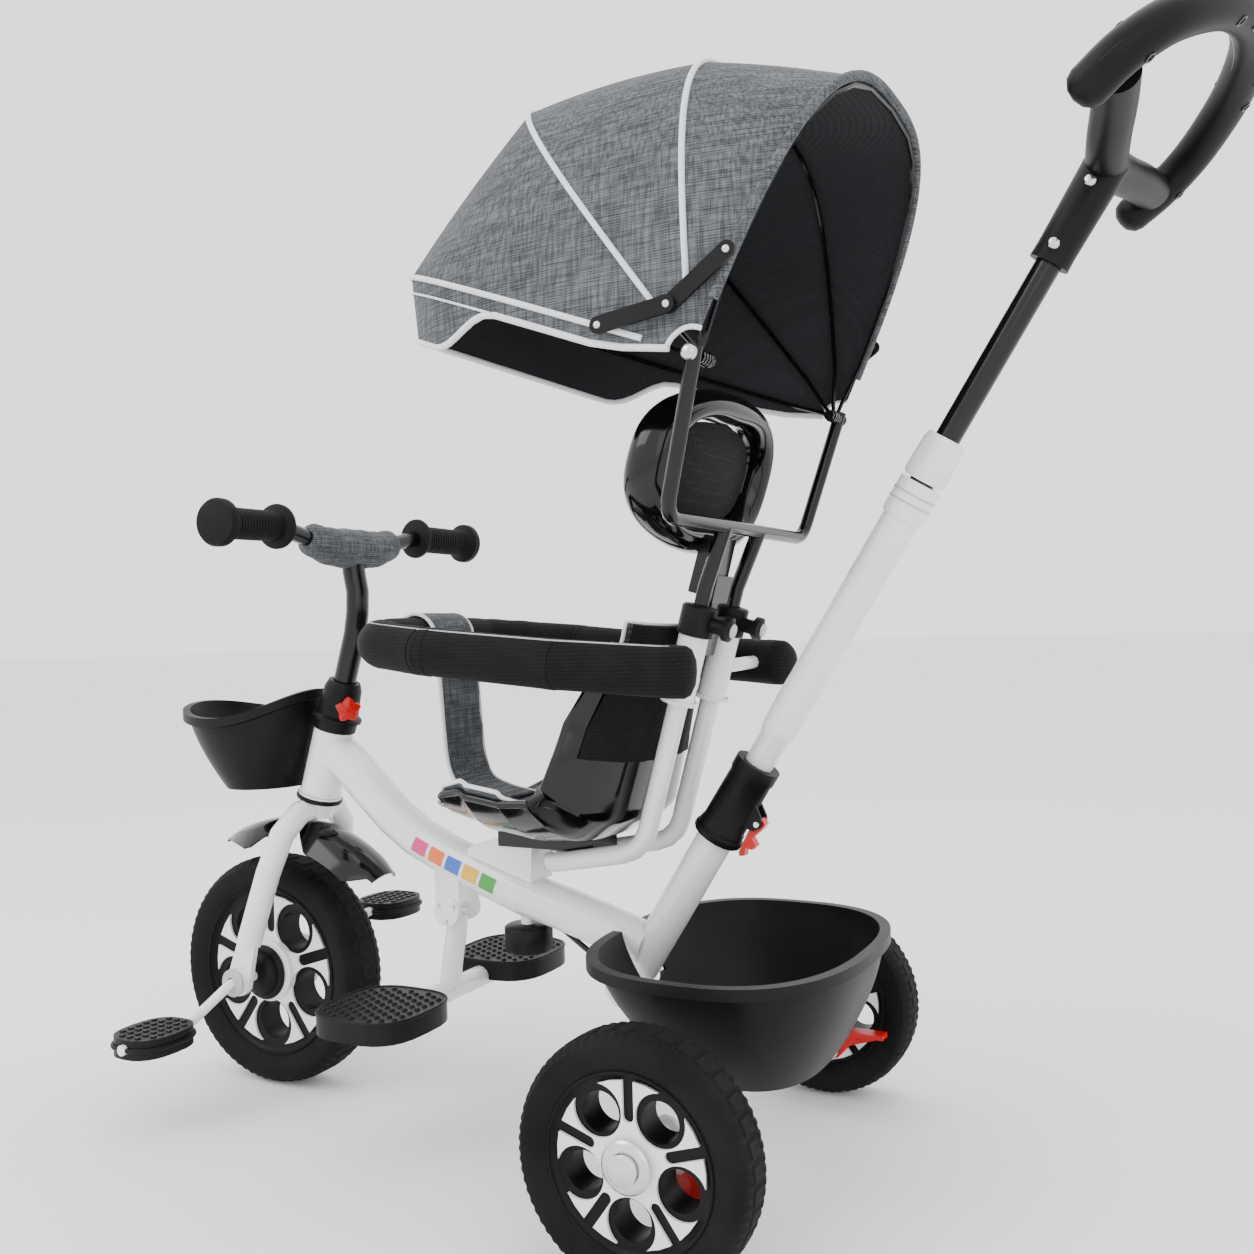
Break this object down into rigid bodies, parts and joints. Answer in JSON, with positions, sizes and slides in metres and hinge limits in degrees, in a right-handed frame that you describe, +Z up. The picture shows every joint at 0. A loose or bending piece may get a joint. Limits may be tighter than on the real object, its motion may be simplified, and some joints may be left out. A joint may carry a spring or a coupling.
{
  "type": "children's tricycle",
  "caption": "Children's push tricycle with a folding fabric canopy, guard ring, headrest, footrest, two baskets and a telescoping steering push bar.",
  "frame": {"origin": "on the ground under the middle of the overall bounding box", "axes": "+Z up, -Y forward (the way it rides), +X the rider's left"},
  "size_m": [0.4944, 1.1491, 0.9818],
  "materials": {
    "white_paint": "glossy white paint on steel tube",
    "white_plastic": "glossy white moulded plastic",
    "black_plastic": "satin black moulded plastic",
    "gloss_black_plastic": "glossy black moulded plastic",
    "black_steel": "glossy black paint on steel tube and wire",
    "red_plastic": "bright red moulded plastic",
    "tyre": "matt black foam rubber",
    "grip_rubber": "matt black soft rubber",
    "grey_fabric": "grey melange woven fabric",
    "black_mesh": "black knitted mesh over foam"
  },
  "bodies": {
    "frame": {"main_frame": "white_paint", "push_socket": "white_paint", "rear_axle": "white_paint", "seat_post_tube": "white_paint", "post_clamp": "black_plastic", "seat_shell": "gloss_black_plastic", "seat_cover": "grey_fabric", "crotch_strap": "grey_fabric", "push_collar": "black_plastic", "rear_basket": "black_plastic"},
    "steering": {"fork": "white_paint", "front_mudguard": "gloss_black_plastic", "steering_collar": "black_plastic", "handlebar": "black_steel", "left_grip": "grip_rubber", "right_grip": "grip_rubber", "handlebar_cover": "grey_fabric", "front_basket": "black_plastic"},
    "front_wheel": {"front_tyre": "tyre", "front_rim": "black_plastic", "front_spoke_disc": "white_plastic"},
    "crank": {"crank_axle": "white_paint"},
    "left_pedal": {"left_pedal_body": "black_plastic"},
    "right_pedal": {"right_pedal_body": "black_plastic"},
    "star_knob": {"star_knob": "red_plastic"},
    "left_rear_wheel": {"left_rear_tyre": "tyre", "left_rear_rim": "black_plastic", "left_rear_spoke_disc": "white_plastic"},
    "right_rear_wheel": {"right_rear_tyre": "tyre", "right_rear_rim": "black_plastic", "right_rear_spoke_disc": "white_plastic"},
    "left_brake": {"left_brake_lever": "red_plastic"},
    "right_brake": {"right_brake_lever": "red_plastic"},
    "footrest": {"footrest_post": "white_paint", "left_foot_plate": "black_plastic", "right_foot_plate": "black_plastic"},
    "frame_knob": {"frame_knob": "black_plastic"},
    "steering_rod": {"steering_rod": "black_steel"},
    "push_tube": {"push_tube": "white_paint"},
    "push_latch": {"push_latch": "red_plastic"},
    "push_lock": {"lock_nut": "white_plastic"},
    "push_handle": {"push_handle": "black_plastic", "inner_push_tube": "black_steel"},
    "canopy_frame": {"canopy_frame": "black_steel", "canopy_panel_rear": "grey_fabric"},
    "rib_c": {"canopy_rib_rear": "black_steel", "canopy_panel_middle": "grey_fabric"},
    "rib_b": {"canopy_rib_middle": "black_steel"},
    "rib_a": {"canopy_rib_front": "black_steel", "canopy_panel_front": "grey_fabric"},
    "left_rear_link": {"left_rear_link": "black_plastic"},
    "left_front_link": {"left_front_link": "black_plastic"},
    "right_rear_link": {"right_rear_link": "black_plastic"},
    "right_front_link": {"right_front_link": "black_plastic"},
    "headrest": {"headrest_frame": "gloss_black_plastic", "headrest_mesh": "black_mesh"},
    "left_guard": {"left_guard_arm": "white_paint", "left_guard_pad": "black_mesh"},
    "right_guard": {"right_guard_arm": "white_paint", "right_guard_pad": "black_mesh"}
  },
  "joints": [
    {"name": "steering_turn", "type": "hinge", "parent": "frame", "child": "steering", "pos_m": [0, -0.36159, 0.39927], "axis": [0, 0.3009, 0.9537], "range_deg": [-30, 30]},
    {"name": "front_wheel_spin", "type": "hinge", "parent": "steering", "child": "front_wheel", "pos_m": [0, -0.4475, 0.127], "axis": [1, 0, 0], "continuous": true},
    {"name": "crank_spin", "type": "hinge", "parent": "steering", "child": "crank", "pos_m": [0, -0.4475, 0.127], "axis": [1, 0, 0], "continuous": true},
    {"name": "left_pedal_spin", "type": "hinge", "parent": "crank", "child": "left_pedal", "pos_m": [0.162, -0.471, 0.0905], "axis": [1, 0, 0], "continuous": true},
    {"name": "right_pedal_spin", "type": "hinge", "parent": "crank", "child": "right_pedal", "pos_m": [-0.162, -0.424, 0.1635], "axis": [1, 0, 0], "continuous": true},
    {"name": "star_knob_turn", "type": "hinge", "parent": "steering", "child": "star_knob", "pos_m": [0, -0.35212, 0.42931], "axis": [0.5205, 0.8143, -0.2569], "range_deg": [0, 360]},
    {"name": "left_rear_wheel_spin", "type": "hinge", "parent": "frame", "child": "left_rear_wheel", "pos_m": [0.2186, 0.125, 0.0989], "axis": [1, 0, 0], "continuous": true},
    {"name": "right_rear_wheel_spin", "type": "hinge", "parent": "frame", "child": "right_rear_wheel", "pos_m": [-0.2186, 0.125, 0.0989], "axis": [1, 0, 0], "continuous": true},
    {"name": "left_brake_press", "type": "hinge", "parent": "frame", "child": "left_brake", "pos_m": [0.1815, 0.1422, 0.057], "axis": [-1, 0, 0], "range_deg": [0, 15]},
    {"name": "right_brake_press", "type": "hinge", "parent": "frame", "child": "right_brake", "pos_m": [-0.1815, 0.1422, 0.057], "axis": [-1, 0, 0], "range_deg": [0, 15]},
    {"name": "footrest_fold", "type": "hinge", "parent": "frame", "child": "footrest", "pos_m": [0, -0.1998, 0.2142], "axis": [1, 0, 0], "range_deg": [0, 50]},
    {"name": "frame_knob_turn", "type": "hinge", "parent": "frame", "child": "frame_knob", "pos_m": [0, -0.112, 0.2085], "axis": [0, 0, 1], "range_deg": [-180, 180]},
    {"name": "steering_rod_slide", "type": "slide", "parent": "frame", "child": "steering_rod", "axis": [0, 0.8667, -0.4988], "range_m": [-0.012, 0.012]},
    {"name": "push_bar_turn", "type": "hinge", "parent": "frame", "child": "push_tube", "pos_m": [0, -0.0065, 0.1401], "axis": [0, 0.5385, 0.8426], "range_deg": [-30, 30]},
    {"name": "lock_nut_turn", "type": "hinge", "parent": "push_tube", "child": "push_lock", "pos_m": [0, 0.30045, 0.62039], "axis": [0, 0.5385, 0.8426], "range_deg": [0, 90]},
    {"name": "push_bar_slide", "type": "slide", "parent": "push_tube", "child": "push_handle", "axis": [0, 0.5385, 0.8426], "range_m": [-0.15, 0.02]},
    {"name": "push_latch_open", "type": "hinge", "parent": "frame", "child": "push_latch", "pos_m": [0, 0.14287, 0.31997], "axis": [1, 0, 0], "range_deg": [0, 60]},
    {"name": "canopy_height", "type": "slide", "parent": "frame", "child": "canopy_frame", "axis": [0, 0.28, 0.96], "range_m": [-0.02, 0.03]},
    {"name": "canopy_fold", "type": "hinge", "parent": "canopy_frame", "child": "rib_c", "pos_m": [0, 0.1701, 0.7125], "axis": [-1, 0, 0], "range_deg": [0, 14], "deforming": ["canopy_panel_rear"]},
    {"name": "canopy_fold_b", "type": "hinge", "parent": "rib_c", "child": "rib_b", "pos_m": [0, 0.1701, 0.7125], "axis": [-1, 0, 0], "range_deg": [0, 25], "deforming": ["canopy_panel_middle"]},
    {"name": "canopy_fold_a", "type": "hinge", "parent": "rib_b", "child": "rib_a", "pos_m": [0, 0.1701, 0.7125], "axis": [-1, 0, 0], "range_deg": [0, 24], "deforming": ["canopy_panel_front"]},
    {"name": "left_rear_link_turn", "type": "hinge", "parent": "canopy_frame", "child": "left_rear_link", "pos_m": [0.19, 0.2051, 0.7844], "axis": [-1, 0, 0], "range_deg": [-25, 0]},
    {"name": "left_front_link_turn", "type": "hinge", "parent": "left_rear_link", "child": "left_front_link", "pos_m": [0.19, 0.1554, 0.75], "axis": [-1, 0, 0], "range_deg": [0, 112]},
    {"name": "right_rear_link_turn", "type": "hinge", "parent": "canopy_frame", "child": "right_rear_link", "pos_m": [-0.19, 0.2051, 0.7844], "axis": [-1, 0, 0], "range_deg": [-25, 0]},
    {"name": "right_front_link_turn", "type": "hinge", "parent": "right_rear_link", "child": "right_front_link", "pos_m": [-0.19, 0.1554, 0.75], "axis": [-1, 0, 0], "range_deg": [0, 112]},
    {"name": "headrest_height", "type": "slide", "parent": "frame", "child": "headrest", "axis": [0, 0.28, 0.96], "range_m": [0, 0.02]},
    {"name": "left_guard_open", "type": "hinge", "parent": "frame", "child": "left_guard", "pos_m": [0.036, 0.0984, 0.4938], "axis": [0, 0.28, 0.96], "range_deg": [0, 60], "deforming": ["crotch_strap"]},
    {"name": "right_guard_open", "type": "hinge", "parent": "frame", "child": "right_guard", "pos_m": [-0.036, 0.0984, 0.4938], "axis": [0, 0.28, 0.96], "range_deg": [-60, 0]}
  ],
  "couplings": [
    {"joint": "crank_spin", "follows": "front_wheel_spin", "ratio": 1},
    {"joint": "push_bar_turn", "follows": "steering_turn", "ratio": 1},
    {"joint": "steering_rod_slide", "follows": "steering_turn", "m_per_rad": 0.02},
    {"joint": "canopy_fold_b", "follows": "canopy_fold", "ratio": 1.7857},
    {"joint": "canopy_fold_a", "follows": "canopy_fold", "ratio": 1.7143},
    {"joint": "left_rear_link_turn", "follows": "canopy_fold", "ratio": -1.685},
    {"joint": "left_front_link_turn", "follows": "canopy_fold", "ratio": 7.886},
    {"joint": "right_rear_link_turn", "follows": "canopy_fold", "ratio": -1.685},
    {"joint": "right_front_link_turn", "follows": "canopy_fold", "ratio": 7.886}
  ]
}
